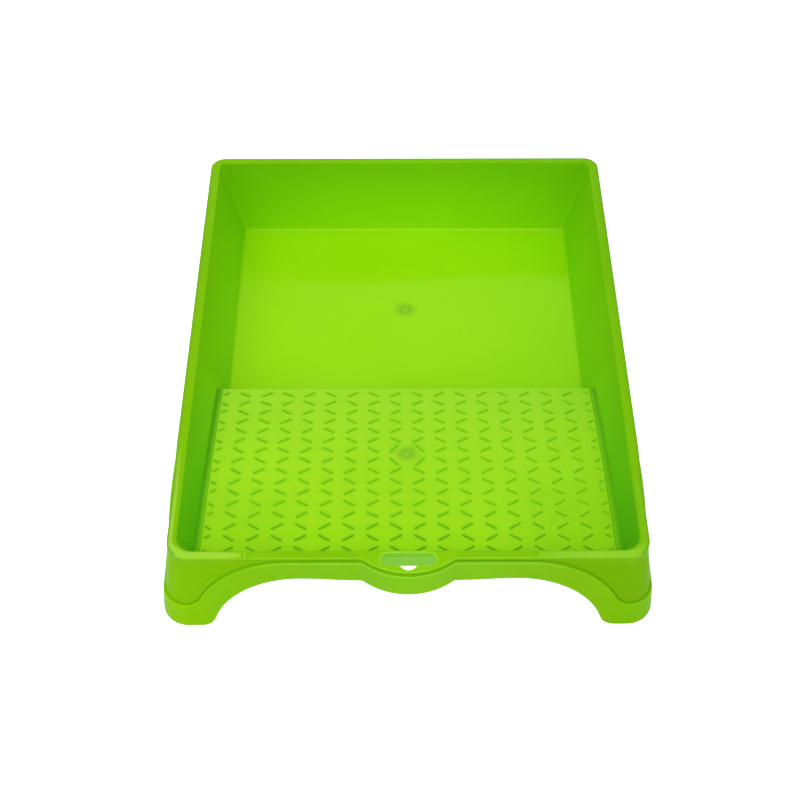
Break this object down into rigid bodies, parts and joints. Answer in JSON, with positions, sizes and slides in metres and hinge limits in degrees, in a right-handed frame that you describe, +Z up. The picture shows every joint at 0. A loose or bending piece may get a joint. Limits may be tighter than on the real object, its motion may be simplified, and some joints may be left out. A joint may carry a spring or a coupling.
{
  "type": "paint roller tray",
  "caption": "Shallow open paint roller tray: deep flat-bottomed well at the rear, ribbed ramp rising to the front, flat rim, skirted front legs and a hanging tab with a slot.",
  "frame": {"origin": "on the ground, under the well floor, on the tray's left-right middle plane and midway along its rim", "axes": "+X to the tray's right seen from the tab end, +Y to the rear (deep well end), -Y to the front (tab end), +Z up"},
  "size_m": [0.273, 0.3363, 0.058],
  "materials": {
    "green_plastic": "semi-gloss injection-moulded polypropylene, lime green, slightly translucent"
  },
  "bodies": {
    "root": {"tray_body": "green_plastic"}
  },
  "joints": []
}
